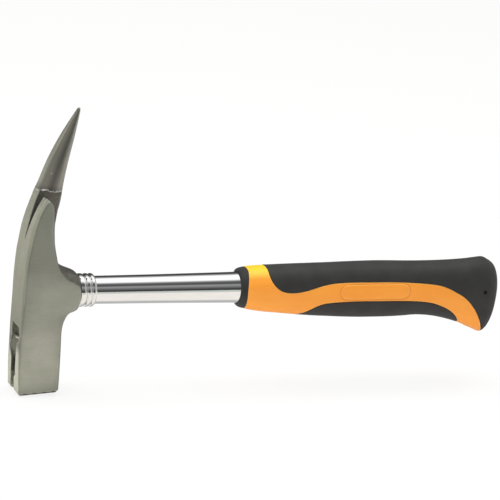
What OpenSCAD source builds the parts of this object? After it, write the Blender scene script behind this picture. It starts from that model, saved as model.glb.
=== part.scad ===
// Roofing hammer: square striking block with a magnetic nail groove, side claw and
// spike in one forging, chromed conical tube shaft, and a moulded two-colour grip.
//
// Frame: X runs along the shaft towards the butt, Z points up through the spike,
// Y runs across the head. The origin is where the shaft axis meets the middle of the neck.
// On the head, outer is -X, inner is +X (the hand's side), near is -Y and far is +Y.

/* [Head] */
// Width of the head across its two flat cheeks
head_w = 25.4; // [24.6:0.1:26.4]
// Distance of the striking face below the shaft axis, at its outer edge
face_drop = 64.9; // [63:0.1:67]
// Tilt of the striking face towards the hand, in degrees
face_cant = 4.35; // [3:0.05:6]
// Radius of the striking block's inner corners
corner_r = 2.7; // [2:0.1:3.6]
// Size of the broken edges beside the outer face
edge_break = 1.2; // [0.9:0.1:1.4]
// Chamfer of the striking face
face_chamfer = 1.2; // [0.6:0.1:1.6]
// Height of the flat shoulder under the root of the spike
ring_z = 64.3; // [63.9:0.1:65]
// Height of the spike's tip above the shaft axis
spike_top = 117.4; // [112:0.2:122]

/* [Claw] */
// Height where the V slot of the claw begins
slot_z = 34.4; // [33:0.2:36]
// Width of the V slot at the tip of the prong
slot_w = 8.2; // [7.8:0.1:8.8]

/* [Nail holder] */
// Width of the nail-head pocket
pocket_w = 15.4; // [14:0.1:16]
// Width of the groove that takes the nail's shank
groove_w = 6.8; // [5.8:0.1:7]
// Distance of the groove from the middle of the outer face
nail_y = 2.7; // [1.5:0.1:3]
// Depth of the shank groove
groove_d = 2.6; // [2:0.1:3.2]
// Width of the magnet
magnet_w = 8.6; // [8:0.1:8.8]
// Height of the magnet
magnet_h = 8.6; // [7:0.1:9]
// Z of the magnet's upper end
magnet_z = -45.6; // [-46:0.1:-43]
// Thickness of the magnet
magnet_t = 3; // [2:0.1:4]

/* [Shaft] */
// Tube outside diameter where it leaves the beads
tube_d_head = 18; // [17.4:0.1:18.6]
// Tube outside diameter inside the grip
tube_d_grip = 20.2; // [19.6:0.1:20.8]
// Outside diameter of the rolled beads
bead_d = 21.5; // [20.8:0.1:22]
// Tube wall
tube_wall = 1.5; // [1.2:0.1:1.8]
// Number of rolled beads
bead_count = 3; // [2:1:4]
// Depth of the blind socket, measured from the end of the boss
socket_depth = 31; // [26:0.5:33]

/* [Grip] */
// Shaft position where the grip starts
grip_start = 133; // [132:0.5:134]
// Scale on the grip's thickness along Y
grip_thick = 1; // [0.96:0.01:1.06]
// Depth of the rubber pads
pad_t = 2.2; // [1.8:0.1:2.4]
// Length of the front collar
collar_len = 3.8; // [3.4:0.1:5]
// Height of the raised blank oblong on the grip's sides
label_h = 9.8; // [8:0.1:10]
// How far the raised oblong stands out
label_t = 0.4; // [0.2:0.1:0.6]

/* [Hidden] */
$fn = 64;
clearance = 0.04;
rubber = [0.20, 0.20, 0.20];

// ---------- shared shapes ----------
// Catmull-Rom curve through a list of points, with a number of steps to each span
function span_point(before, start, end, after, t) =
    0.5 * (2 * start + (end - before) * t
    + (2 * before - 5 * start + 4 * end - after) * t * t
    + (3 * start - before - 3 * end + after) * t * t * t);
function spline(points, steps) = let (last = len(points) - 1) concat(
    [for (i = [0 : last - 1], j = [0 : steps - 1])
        span_point(points[max(i - 1, 0)], points[i], points[i + 1],
            points[min(i + 2, last)], j / steps)],
    [points[last]]);

// cosine or sine reshaped to draw a squarish oval; an exponent of 2 gives an ellipse
function squared(value, exponent) = sign(value) * pow(abs(value), 2 / exponent);

// skin over a stack of rings that all have the same number of points
module loft(rings) {
    n = len(rings[0]);
    top = (len(rings) - 1) * n;
    polyhedron(points = [for (ring = rings, point = ring) point],
        faces = concat([[for (i = [0 : n - 1]) i]],
            [for (low = [0 : n : top - n], i = [0 : n - 1])
                let (j = (i + 1) % n, high = low + n)
                each [[low + j, low + i, high + i], [low + j, high + i, high + j]]],
            [[for (i = [n - 1 : -1 : 0]) top + i]]));
}

// solid of revolution about the shaft axis; points are [radius, x]
module turned(points) rotate([0, 90, 0]) rotate_extrude() polygon(points);

// side view [x, z] given a thickness centred on Y = 0
module side_slab(thickness)
    rotate([90, 0, 0]) linear_extrude(height = thickness, center = true) children();

// end view [y, z] carried between two places along X
module end_slab(from_x, to_x) translate([from_x, 0, 0])
    rotate([90, 0, 90]) linear_extrude(height = to_x - from_x) children();

// ---------- head ----------
half_w = head_w / 2;
boss_x = 26.2;   // end of the socket boss
block_x = 15.6;  // inner side of the striking block
cut_x = -30;     // start of the cuts, clear of the outer face

// Side-view edges, as [x, z].
// outer edge of the head, from the striking face up
outer_edge = spline([[-10.1, -face_drop + 1.4], [-11.2, -46], [-11.8, -24], [-11.95, 0],
    [-11.6, 15], [-10.1, 32], [-7.6, 46], [-4.2, 57.5], [-1.8, ring_z]], 4);
// inner edge of the neck, from the shoulder down to the socket boss
neck_edge = spline([[14.6, ring_z], [14.05, 56], [12.4, 46], [11, 37], [10.5, 29],
    [10.5, 22], [11.4, 17]], 3);
neck_root = [17, 10.5];
// end of the boss and the inner edge of the striking block on the flat cheek
boss_edge = spline([[22.4, 7.6], [24.9, 6], [25.8, 3], [25.8, -3], [25.1, -6.3],
    [23, -9.2], [18.8, -12.1], [16.5, -16.2], [15.1, -21.5], [15.3, -31], [block_x, -46],
    [block_x, -face_drop + 4.4]], 3);
// inner edge of the claw prong on the near cheek
prong_edge = spline([[3.9, 66], [4.4, 56.8], [5, 43.2], [5.4, 36], [7, 27.6],
    [9.4, 20.6], [11.2, 16.7], [13.2, 13.9], neck_root], 3);
face_inner = [14.9, -face_drop + 24.3 * tan(face_cant)];
face_outer = [-9.9 + face_chamfer, -face_drop + face_chamfer * tan(face_cant)];

// outline of the whole head, with the thicker far side of the neck
module side_outline() polygon(concat(outer_edge, neck_edge, [neck_root], boss_edge,
    [face_inner, face_outer]));

// the same neck with the slimmer prong edge, carried well past every other edge
module prong_outline()
    polygon(concat([[-30, -80], [-30, 80], [4, 80]], prong_edge, [[60, 8], [60, -80]]));

// block and neck: the near cheek is the slimmest, and the neck thickens towards the far cheek
module head_body() {
    lean = 0.5;  // X gained for each mm towards the far cheek
    intersection() {
        side_slab(head_w) side_outline();
        multmatrix([[1, lean, 0, lean * half_w], [0, 1, 0, 0], [0, 0, 1, 0]])
            side_slab(head_w + 2) prong_outline();
    }
}

// boss around the shaft socket: round about the shaft, cut flat by the cheeks
module boss() intersection() {
    turned(concat([[0, -8]],
        spline([[22, -4], [21, 8], [18.9, 13.2], [16.5, 16.7], [15.4, 19.8], [14.4, 22.8],
            [13.8, 24.6]], 2),
        [[13.3, 25.1], [12.6, 25.8], [11.6, boss_x], [0, boss_x]]));
    side_slab(head_w) polygon(concat(
        [[-8, -19.8], [-8, 19.8]],
        spline([[10, 19.6], [13.5, 18], [17.5, 15.8], [21.6, 14.1], [24.4, 12.9],
            [boss_x, 10.5]], 2),
        [[boss_x, -10.5]],
        spline([[24.4, -12.9], [21.6, -14.1], [17.5, -15.8], [13.5, -18], [10, -19.6]], 2)));
}

// oval sections of the spike: [z, outer x, inner x, near y, far y]
spike_rows = [
    [58, -4.6, 13.9, -0.7, 12.7],
    [ring_z + 0.4, -1.8, 14.2, -0.9, 12.7],
    [75, 2, 15.6, -0.8, 12.2],
    [85, 5.6, 17.3, -0.2, 11.5],
    [96, 10.3, 19.4, 1, 10.4],
    [106, 15.1, 21.2, 2.7, 9],
    [112.5, 18.5, 22.5, 4.2, 7.9],
    [spike_top - 1, 20.4, 22.9, 4.9, 7.2],
    [spike_top, 21.1, 22.5, 5.5, 6.6]];
function spike_ring(row, sides = 24, exponent = 2.5) =
    [for (i = [0 : sides - 1]) let (angle = 360 * i / sides)
        [(row[1] + row[2]) / 2 + (row[2] - row[1]) / 2 * squared(cos(angle), exponent),
         (row[3] + row[4]) / 2 + (row[4] - row[3]) / 2 * squared(sin(angle), exponent),
         row[0]]];
module spike() loft([for (row = spike_rows) spike_ring(row)]);

// sides of the claw's V slot, as [y, z] from the bottom up
slot_bottom = slot_z + 0.5;
slot_far = [[-0.95, slot_bottom], [-0.7, 41], [-0.6, 44.8], [0, 48.4], [0.7, 52],
    [1.4, 57], [1.7, 60]];
slot_near = [[-1.3, slot_bottom], [-2.9, 41.6], [-4.5, 49.7], [-5.15, 53.7],
    [-5.5, 56.4], [-6, 59.3]];
slot_near_y = -6.3;
slot_far_y = slot_near_y + slot_w;
prong_top = 63.4;

module claw_cut() {
    // slot, and the mouth that opens it to the near side
    end_slab(cut_x, 30) polygon(concat(slot_far,
        [[slot_far_y, ring_z], [-20, ring_z], [-20, prong_top], [slot_near_y, prong_top]],
        [for (i = [len(slot_near) - 1 : -1 : 0]) slot_near[i]]));
    // sloping prong tip
    translate([0, slot_far_y, 0]) rotate([90, 0, 0]) linear_extrude(height = 30) polygon([
        [-12, ring_z], [-12, 64.2], [-4, 64.2], [-1.9, prong_top], [0.5, 62.3], [2, 61.2],
        [3.2, 59.9], [4.2, 58.3], [4.9, 56.8], [8, 52], [20, 40.5], [30, 35], [30, ring_z]]);
}

pocket_floor_x = -8.2;
groove_floor_x = -11.2 + groove_d;
magnet_corner = [groove_floor_x, nail_y - 1.6 - magnet_w / 2, magnet_z - magnet_h];

module nail_cut() {
    half_pocket = pocket_w / 2;
    half_groove = groove_w / 2;
    // pocket for the nail's head
    translate([0, -1, 0]) end_slab(cut_x, pocket_floor_x) polygon([
        [half_pocket + 0.1, -21.4], [-half_pocket + 2.7, -21.4], [-half_pocket + 0.8, -21.9],
        [-half_pocket - 0.5, -23.2], [-half_pocket - 1.1, -25], [-half_pocket - 1.2, -26.3],
        [-half_pocket - 1, -27], [half_pocket - 2.2, -30], [half_pocket - 0.5, -30.4]]);
    // tapering lead-in and straight shank groove
    translate([0, nail_y, 0]) end_slab(cut_x, groove_floor_x) polygon([
        [4.8, -31.7], [-11.7, -28.2], [-11.9, -29.6], [-11.5, -30.5], [-9.3, -31.3],
        [-7.6, -32.8], [-6.6, -34.6], [-6.7, -40.4], [-6.7, -43.2], [-6.5, -54.2],
        [-half_groove, -55.6], [-half_groove, -75], [half_groove, -75], [half_groove, -55.6],
        [3, -54.2], [3, -44], [5, -41.2]]);
    // magnet seat
    translate(magnet_corner - [1, clearance, clearance])
        cube([magnet_t + 1 + clearance, magnet_w + 2 * clearance, magnet_h + 2 * clearance]);
}

// sloping strip along the corner between the outer face and the far cheek
module edge_cut() loft([
    for (edge = concat([outer_edge[0] - [0, 3]], outer_edge, [[-1, ring_z + 3]]))
        [[edge[0] - 1, half_w - edge_break - 1, edge[1]],
         [edge[0] + edge_break + 1, half_w + 1, edge[1]],
         [edge[0] - 1, half_w + 1, edge[1]]]]);

// chamfers along the two cheek edges of the striking face
module face_chamfers() for (side = [-1, 1])
    translate([-10.1, side * half_w, -face_drop]) rotate([0, -face_cant, 0])
        rotate([45, 0, 0])
            cube([90, face_chamfer * 1.414, face_chamfer * 1.414], center = true);

// waste outside the rounded inner corners of the striking block
module corner_cuts() for (side = [-1, 1])
    translate([block_x - corner_r, side * (half_w - corner_r), -70]) difference() {
        translate([0, side > 0 ? 0 : -corner_r - 1, 0]) cube([corner_r + 1, corner_r + 1, 48]);
        translate([0, 0, -1]) cylinder(r = corner_r, h = 50);
    }

// The socket widens slightly towards its blind end so the spread tube can't pull out.
socket_x = boss_x - socket_depth;
insert_r = 8.5;             // tube inside the socket
flare_r = insert_r + 0.9;   // tube spread at the blind end
insert_x = socket_x + 0.4;  // end of the tube
flare_x = socket_x + 2;     // full flare up to here
taper_x = socket_x + 14;    // flare dies out here
module socket_cut() turned([[0, socket_x - 0.6], [flare_r + clearance, socket_x - 0.6],
    [flare_r + clearance, flare_x], [insert_r + clearance, taper_x],
    [insert_r + clearance, boss_x + 5], [0, boss_x + 5]]);

module head() color([0.60, 0.60, 0.54]) difference() {
    union() {
        head_body();
        boss();
        spike();
    }
    claw_cut();
    nail_cut();
    socket_cut();
    face_chamfers();
    edge_cut();
    mirror([0, 1, 0]) edge_cut();
    corner_cuts();
}

module nail_magnet() color([0.12, 0.12, 0.11])
    translate(magnet_corner) cube([magnet_t, magnet_w, magnet_h]);

// ---------- shaft ----------
tube_end = 300;
cone_start = 37;
cone_end = 129;
tube_r = tube_d_grip / 2;
tube_bore_r = tube_r - tube_wall;
function cone_r(x) = tube_d_head / 2
    + (tube_d_grip - tube_d_head) / 2 * (x - cone_start) / (cone_end - cone_start);

bead_x = boss_x + 0.1;
bead_l = 10.6;      // length of all the beads together
bead_rise = 0.75;
bead_points = [for (bead = [0 : bead_count - 1], i = [0 : 6])
    [bead_d / 2 - bead_rise + bead_rise * pow(sin(180 * i / 6), 0.7),
     bead_x + bead_l / bead_count * (bead + i / 6.3)]];

module handle_tube() color([0.82, 0.83, 0.82]) turned(concat(
    [[flare_r, insert_x], [flare_r, flare_x], [insert_r, taper_x], [insert_r, bead_x]],
    bead_points,
    [[cone_r(cone_start), cone_start + 0.3], [tube_r, cone_end], [tube_r, tube_end],
     [tube_bore_r, tube_end], [tube_bore_r, cone_end],
     [cone_r(39) - tube_wall, 39], [insert_r - tube_wall, bead_x],
     [insert_r - tube_wall, taper_x], [flare_r - tube_wall, flare_x],
     [flare_r - tube_wall, insert_x]]));

// steel taper driven into the tube before it is pressed home
module expander_plug() color([0.5, 0.5, 0.52]) {
    wide_r = flare_r - tube_wall - clearance;
    tip_x = taper_x + 1.2;
    turned([[0, insert_x], [wide_r, insert_x], [wide_r, flare_x],
        [insert_r - tube_wall - clearance, taper_x],
        [insert_r - tube_wall - 0.8, tip_x], [0, tip_x]]);
}

// plug that keeps the moulded plastic out of the tube
module tube_end_plug() color([0.75, 0.75, 0.72]) {
    plug_r = tube_bore_r - clearance;
    turned([[0, tube_end - 14], [plug_r - 0.6, tube_end - 14],
        [plug_r, tube_end - 12.6], [plug_r, tube_end], [0, tube_end]]);
}

// ---------- grip ----------
core_start = grip_start + 3;
core_end = 303;

// sections: [x, top z, bottom z, half thickness]
grip_controls = [
    [grip_start + 1.1, 12.2, -12.3, 12.2], [grip_start + 3.8, 12.8, -13.2, 12.8],
    [145, 13.5, -14.9, 13.6], [160, 14, -16.6, 13.8], [176, 14.4, -18.2, 13.8],
    [194, 14.8, -19.5, 14], [216, 15.4, -20.6, 14.2], [238, 15.4, -20.7, 14.2],
    [256, 14.9, -19.8, 14], [268, 15, -20.8, 14.2], [282, 15.5, -24.1, 14.7],
    [292, 16.1, -28, 15.2], [302.1, 17.3, -32.3, 15.4]];
butt_rows = [
    [304.7, 16.2, -31, 14.3], [306.6, 15.1, -28.5, 13.3], [308.2, 13.9, -24.9, 12],
    [309.6, 12.4, -20.4, 10.4], [310.8, 10.1, -15.4, 8.4], [311.5, 7.2, -10.6, 6.2],
    [311.9, 4.2, -6.4, 3.8]];
grip_rows = concat([[grip_start, 11, -11.05, 11]], spline(grip_controls, 2), butt_rows);
core_rows = [for (row = grip_rows) if (row[0] > grip_start + 1 && row[0] < 308) row];

function grip_ring(row, inset, exponent = 2.4) =
    let (half_y = row[3] * grip_thick - inset, half_z = (row[1] - row[2]) / 2 - inset)
    [for (angle = [0 : 10 : 350])
        [row[0], half_y * squared(cos(angle), exponent),
         (row[1] + row[2]) / 2 + half_z * squared(sin(angle), exponent)]];
module grip_loft(rows, inset) for (i = [0 : len(rows) - 2]) hull()
    loft([grip_ring(rows[i], inset), grip_ring(rows[i + 1], inset)]);

// parting lines of the colours in side view, as [x, z]
top_line = spline([[151.3, 22], [151.2, 14], [151.5, 9.6], [155.8, 3.4], [162.2, 0],
    [171, -0.4], [183, 2.4], [194.8, 4.9], [212, 5.6], [240, 5.4], [262, 3.6], [274, 0.7],
    [286.4, -6.2], [295.2, -15.4], [300.8, -26.2], [303.4, -40]], 3);
low_line = spline([[163.5, -26], [169.5, -20.4], [176.8, -15.9], [184.6, -10.4],
    [194.9, -7.7], [213, -6.9], [241, -7.1], [260, -8.5], [271, -11.5], [280.7, -17.5],
    [286.5, -25.2], [289, -36]], 3);
module top_region() side_slab(60) polygon(concat(top_line, [[330, -40], [330, 22]]));
module low_region() side_slab(60) polygon(low_line);
module collar_region()
    translate([grip_start - 5, -30, -30]) cube([5 + collar_len, 60, 60]);

// slimmer core under the rubber, cut square at both ends
module inner_core() intersection() {
    grip_loft(core_rows, pad_t);
    translate([core_start, -30, -50]) cube([core_end - core_start, 60, 100]);
}

module tube_hole(length)
    rotate([0, 90, 0]) cylinder(r = tube_r + clearance, h = length, $fn = 96);

// raised blank oblong on each side
module label() intersection() {
    side_slab(60) hull()
        for (x = [199.5 + label_h / 2, 247.4 - label_h / 2])
            translate([x, -0.7]) circle(d = label_h, $fn = 32);
    grip_loft(grip_rows, -label_t);
}

// part of the full grip that lies inside a region
module grip_part() intersection() {
    grip_loft(grip_rows, 0);
    children();
}

// hard core: full section where the orange shows, slimmer where rubber covers it
module grip_core() color([0.96, 0.60, 0.23]) difference() {
    union() {
        difference() {
            grip_loft(grip_rows, 0);
            top_region();
            low_region();
            collar_region();
        }
        inner_core();
        label();
    }
    tube_hole(tube_end + 0.5);
}

module top_pad() color(rubber) difference() {
    grip_part() top_region();
    inner_core();
}

module lower_pad() color(rubber) difference() {
    grip_part() low_region();
    grip_loft(core_rows, pad_t);
}

module front_collar() color(rubber) difference() {
    grip_part() collar_region();
    inner_core();
    tube_hole(tube_end);
}

head();
nail_magnet();
handle_tube();
expander_plug();
grip_core();
top_pad();
lower_pad();
front_collar();
tube_end_plug();
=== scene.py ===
"""Claw hammer with a nail holder, its far claw prong drawn out into a long spike.

The shaft lies along x, with the head at low x and the grip at high x. The head stands along z,
striking face down and claw up. Near is -y, far is +y. On the head, outer is the -x side and
inner the side towards the grip. Sizes are in millimetres unless said otherwise.
"""

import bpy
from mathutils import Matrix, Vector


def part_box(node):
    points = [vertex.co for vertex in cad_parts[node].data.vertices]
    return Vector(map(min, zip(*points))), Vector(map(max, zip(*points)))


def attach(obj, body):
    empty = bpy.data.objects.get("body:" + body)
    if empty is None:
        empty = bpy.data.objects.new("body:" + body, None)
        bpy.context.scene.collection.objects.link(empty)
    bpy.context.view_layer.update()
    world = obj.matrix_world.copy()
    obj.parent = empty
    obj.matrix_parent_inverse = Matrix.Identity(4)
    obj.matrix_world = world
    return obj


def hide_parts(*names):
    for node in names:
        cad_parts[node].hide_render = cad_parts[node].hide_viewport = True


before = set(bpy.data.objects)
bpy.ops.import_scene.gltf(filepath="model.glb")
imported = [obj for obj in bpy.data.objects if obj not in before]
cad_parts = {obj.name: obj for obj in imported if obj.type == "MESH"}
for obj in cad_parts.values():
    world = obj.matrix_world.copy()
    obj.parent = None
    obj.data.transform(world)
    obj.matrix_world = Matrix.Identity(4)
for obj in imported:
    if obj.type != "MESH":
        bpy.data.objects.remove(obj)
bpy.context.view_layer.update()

import math

import bmesh
import bpy
import numpy as np
from mathutils import Matrix, Vector

MM = 0.001


# ---------------------------------------------------------------- sizes read from the frame
def box_mm(name):
    return [[v / MM for v in corner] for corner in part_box(name)]


head_low, head_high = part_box("head")
HALF_WIDTH = (head_high[1] - head_low[1]) / 2 / MM   # of the head, across the cheeks
COLLAR_LOW, COLLAR_HIGH = box_mm("front_collar")
GRIP_START = COLLAR_LOW[0]
COLLAR_END = COLLAR_HIGH[0]
TUBE_END = box_mm("handle_tube")[1][0]
MAGNET_LOW, MAGNET_HIGH = box_mm("nail_magnet")


# ---------------------------------------------------------------- curves and distance fields
def spline(points, steps=8):
    """Catmull-Rom curve through the points, with the given steps to a span."""
    points = np.array(points, float)
    last = len(points) - 1
    curve = []
    for i in range(last):
        before, start = points[max(i - 1, 0)], points[i]
        end, after = points[i + 1], points[min(i + 2, last)]
        for k in range(steps):
            t = k / steps
            curve.append(0.5 * (2 * start + (end - before) * t
                                + (2 * before - 5 * start + 4 * end - after) * t * t
                                + (3 * start - before - 3 * end + after) * t ** 3))
    curve.append(points[-1])
    return np.array(curve)


class OutlineField:
    """Signed distance to a closed outline, negative inside, read off a grid bilinearly."""

    def __init__(self, outline, low, high, step=0.3):
        points = np.asarray(outline, float)
        self.low, self.step = np.array(low, float), step
        U, V = np.meshgrid(np.arange(low[0], high[0] + step, step),
                           np.arange(low[1], high[1] + step, step), indexing="ij")
        nearest = np.full(U.shape, 1e9)
        inside = np.zeros(U.shape, bool)
        for a, b in zip(points, np.roll(points, -1, axis=0)):
            d = b - a
            length2 = d @ d
            if length2 < 1e-12:
                continue
            t = np.clip(((U - a[0]) * d[0] + (V - a[1]) * d[1]) / length2, 0, 1)
            gap2 = (U - a[0] - t * d[0]) ** 2 + (V - a[1] - t * d[1]) ** 2
            nearest = np.minimum(nearest, gap2)
            if a[1] != b[1]:
                level = (V >= min(a[1], b[1])) & (V < max(a[1], b[1]))
                inside ^= level & (U < a[0] + (V - a[1]) * d[0] / d[1])
        self.grid = (np.sqrt(nearest) * np.where(inside, -1, 1)).astype(np.float32)

    def __call__(self, u, v):
        grid = self.grid
        n, m = grid.shape
        a = np.clip((u - self.low[0]) / self.step, 0, n - 1.001)
        b = np.clip((v - self.low[1]) / self.step, 0, m - 1.001)
        i, j = a.astype(np.int32), b.astype(np.int32)
        a, b = a - i, b - j
        return ((grid[i, j] * (1 - a) + grid[i + 1, j] * a) * (1 - b)
                + (grid[i, j + 1] * (1 - a) + grid[i + 1, j + 1] * a) * b)


def both(a, b, radius):
    """Intersection with a rounded edge."""
    return (np.minimum(-radius, np.maximum(a, b))
            + np.hypot(np.maximum(a + radius, 0), np.maximum(b + radius, 0)))


def either(a, b, radius):
    """Union with a fillet."""
    return (np.maximum(radius, np.minimum(a, b))
            - np.hypot(np.maximum(radius - a, 0), np.maximum(radius - b, 0)))


def bevel(a, b, size):
    """Intersection with a flat chamfer."""
    return np.maximum(np.maximum(a, b), (a + b + size) * 0.70710678)


def unit(value):
    return np.clip(value, 0, 1)


def close_to(distance, within, fade):
    """1 up to `within` of a surface, falling to 0 over `fade`."""
    return unit(1 - (np.abs(distance) - within) / fade)


def gradient(field, points, step=0.03):
    """The field's values and central-difference slopes at the points."""
    slopes = [(field(*(points + axis * step).T) - field(*(points - axis * step).T)) / (2 * step)
              for axis in np.eye(3)]
    return field(*points.T), np.stack(slopes, 1)


# ---------------------------------------------------------------- meshing
def surface_net(values, low, step):
    """Points and quads of the zero surface of a regular grid, negative inside."""
    inside = values < 0
    corners = list(np.ndindex(2, 2, 2))
    count = np.zeros(np.array(values.shape) - 1, np.int8)
    for corner in corners:
        count += inside[tuple(slice(c, n - 1 + c) for c, n in zip(corner, values.shape))]
    active = (count > 0) & (count < 8)
    I, J, K = np.nonzero(active)
    index = np.full(active.shape, -1, np.int32)
    index[I, J, K] = np.arange(len(I))

    # each point is the mean of the crossings on its cell's edges
    total = np.zeros((len(I), 3))
    crossings = np.zeros(len(I))
    for a in corners:
        for b in corners:
            if sum(b) == sum(a) + 1 and all(q >= p for p, q in zip(a, b)):
                value_a = values[I + a[0], J + a[1], K + a[2]]
                value_b = values[I + b[0], J + b[1], K + b[2]]
                on = (value_a < 0) != (value_b < 0)
                t = np.where(on, value_a / np.where(on, value_a - value_b, 1), 0)
                place = np.stack([cell + a[i] + t * (b[i] - a[i])
                                  for i, cell in enumerate((I, J, K))], 1)
                total += place * on[:, None]
                crossings += on
    points = total / crossings[:, None] * step + np.array(low)

    quads = []
    for axis in range(3):
        others = [i for i in range(3) if i != axis]
        before = [slice(1, n - 1) for n in values.shape]
        after = list(before)
        before[axis] = slice(0, values.shape[axis] - 1)
        after[axis] = slice(1, values.shape[axis])
        start, end = inside[tuple(before)], inside[tuple(after)]
        for flip, crossing in ((False, start & ~end), (True, ~start & end)):
            cells = np.argwhere(crossing)
            cells[:, others] += 1
            ring = []
            for shift in ((-1, -1), (0, -1), (0, 0), (-1, 0)):
                cell = cells.copy()
                cell[:, others] += shift
                ring.append(index[tuple(cell.T)])
            ring = np.stack(ring, 1)
            quads.append(ring[:, ::-1] if (axis == 1) != flip else ring)
    return points, np.concatenate(quads)


def mesh_field(field, low, high, step):
    """Mesh of a field's zero surface; only blocks near the surface are filled in finely."""
    coarse, chunk = 4, 400000
    low = np.array(low, float)
    block = step * coarse
    shape = np.ceil((np.array(high) - low) / block).astype(int) + 1
    axes = [low[i] + block * (np.arange(shape[i]) + 0.5) for i in range(3)]
    rough = field(*[g.ravel() for g in np.meshgrid(*axes, indexing="ij")]).reshape(shape)
    values = np.where(rough < 0, -9.0, 9.0).astype(np.float32)
    for axis in range(3):
        values = np.repeat(values, coarse, axis)
    blocks = np.argwhere(np.abs(rough) < block * 1.35)
    offsets = np.array(list(np.ndindex(coarse, coarse, coarse)))
    cells = (blocks[:, None, :] * coarse + offsets[None]).reshape(-1, 3)
    fine = np.empty(len(cells), np.float32)
    for start in range(0, len(cells), chunk):
        part = cells[start:start + chunk]
        fine[start:start + chunk] = field(*(low + step * (part + 0.5)).T)
    values[cells[:, 0], cells[:, 1], cells[:, 2]] = fine
    points, quads = surface_net(values, low + step * 0.5, step)
    # draw the points onto the true surface
    for _ in range(3):
        value, slope = gradient(field, points)
        move = -(value / np.maximum((slope * slope).sum(1), 0.05))[:, None] * slope
        length = np.linalg.norm(move, axis=1, keepdims=True)
        points = points + move * np.minimum(1, 0.45 * step / np.maximum(length, 1e-9))
    return points, quads


def add_object(name, data):
    obj = bpy.data.objects.new(name, data)
    bpy.context.collection.objects.link(obj)
    return obj


def new_mesh(name, points, faces):
    """Smooth-shaded object; faces are a list of tuples or an array with equal-sized rows."""
    mesh = bpy.data.meshes.new(name)
    verts = np.asarray(points, float) * MM
    if isinstance(faces, np.ndarray):
        count, size = faces.shape
        mesh.vertices.add(len(verts))
        mesh.vertices.foreach_set("co", verts.ravel())
        mesh.loops.add(count * size)
        mesh.loops.foreach_set("vertex_index", faces.ravel().astype(np.int32))
        mesh.polygons.add(count)
        starts = np.arange(0, count * size, size, dtype=np.int32)
        mesh.polygons.foreach_set("loop_start", starts)
        mesh.polygons.foreach_set("loop_total", np.full(count, size, np.int32))
        mesh.update(calc_edges=True)
    else:
        mesh.from_pydata([tuple(p) for p in verts], [], faces)
        mesh.update()
    mesh.validate()
    mesh.polygons.foreach_set("use_smooth", np.full(len(mesh.polygons), True))
    return add_object(name, mesh)


def mark(obj, name, values):
    """A per-point float attribute, read by the materials."""
    layer = obj.data.attributes.new(name, "FLOAT", "POINT")
    layer.data.foreach_set("value", np.asarray(values, np.float32))


# ---------------------------------------------------------------- head outlines
FACE_CANT = math.radians(4.35)   # tilt of the striking face
FACE_X, FACE_Z = -9.9, -65.45    # a point on the striking face
SHOULDER_Z = 64.3                # machined shoulder at the foot of the spike
TIP_Z = 117.0                    # top of the spike

# (x, z) from the side: outer edge of head and spike
outer_curve = spline([
    [-9.9, -75], [-10.1, -64.9], [-11.0, -50], [-11.65, -34], [-11.85, -24], [-11.9, -15],
    [-11.95, -5], [-11.95, 4], [-11.75, 13], [-11.15, 24], [-10.15, 32], [-9.2, 38.6],
    [-8.25, 43.5], [-7.0, 48.5], [-5.75, 52.6], [-4.2, 57.5], [-2.9, 61.1], [-1.2, 65.6],
    [0.05, 68.8], [1.55, 73.4], [3.3, 78.8], [5.4, 84.4], [7.7, 90], [10.0, 95.4], [12.6, 101],
    [15.8, 107.2], [18.9, 113], [21.6, 118], [26, 127]])
outer_curve[:, 0] -= np.interp(outer_curve[:, 1], [-75, -60, -45, -34], [0.45, 0.45, 0.35, 0.0])
# (x, z): inner edge above the shaft, then round the socket and down the block
neck_curve = spline([
    [13.8, 72], [14.5, SHOULDER_Z], [14.35, 59.5], [13.5, 52], [12.15, 45], [11.0, 37],
    [10.5, 29], [10.5, 22.5], [11.2, 17.5], [13, 12]])
block_curve = spline([
    [20.5, 8.6], [22.6, 7.4], [24.6, 6.0], [25.6, 3.2], [25.9, 0], [25.8, -3.2], [25.1, -6.2],
    [23.0, -9.1], [20.0, -11.0], [18.0, -12.8], [16.6, -15.6], [15.7, -19.4], [15.45, -25],
    [15.7, -35], [15.95, -50], [15.9, -62], [15.6, -76]], 6)
# (x, z): inner edge of the near prong at the near cheek
prong_curve = spline([
    [3.9, 68], [4.4, 56.8], [4.6, 50], [5.0, 43.2], [5.25, 37.5], [5.9, 32.6], [6.8, 28.4],
    [8.1, 24.5], [9.4, 20.6], [11.0, 17], [13.1, 14.0], [16.2, 11.1], [19.4, 9.1]])
SIDE_VIEW = dict(low=(-26, -80), high=(48, 124))
outer_side = OutlineField(np.vstack([outer_curve, [[90, 127], [90, -75]]]), **SIDE_VIEW)
inner_side = OutlineField(
    np.vstack([[[-40, 72]], neck_curve, block_curve, [[-40, -76]]]), **SIDE_VIEW)
prong_side = OutlineField(
    np.vstack([[[-40, 68]], prong_curve, [[60, 8], [60, -80], [-40, -80]]]), **SIDE_VIEW)

# socket boss: (x, radius) about the shaft, and (x, |z|) trim seen from the side
boss_profile = np.vstack([
    [[-9, 0], [-9, 20]],
    spline([[8, 21.4], [11.2, 20.2], [13.3, 18.7], [15.2, 17.3], [17.4, 16.1], [19.8, 15.25],
            [22.2, 14.5], [23.9, 13.95]], 6),
    [[24.9, 13.5], [25.6, 12.9], [26.0, 12.2], [26.18, 11.4], [26.2, 10.6], [26.2, 0]]])
boss_trim = spline([
    [8, 20.4], [10.4, 19.4], [13.4, 18.0], [15.5, 16.9], [17.6, 15.8], [19.7, 14.9], [21.7, 14.1],
    [23.5, 13.2], [25.1, 12.2], [26.1, 11.2], [27.1, 10.0]], 6)
boss_round = OutlineField(boss_profile, (-26, 0), (48, 60))
boss_side = OutlineField(np.vstack([[[-60, 20.4]], boss_trim, [[27.6, -40], [-60, -40]]]),
                         (-26, 0), (48, 60))

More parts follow.
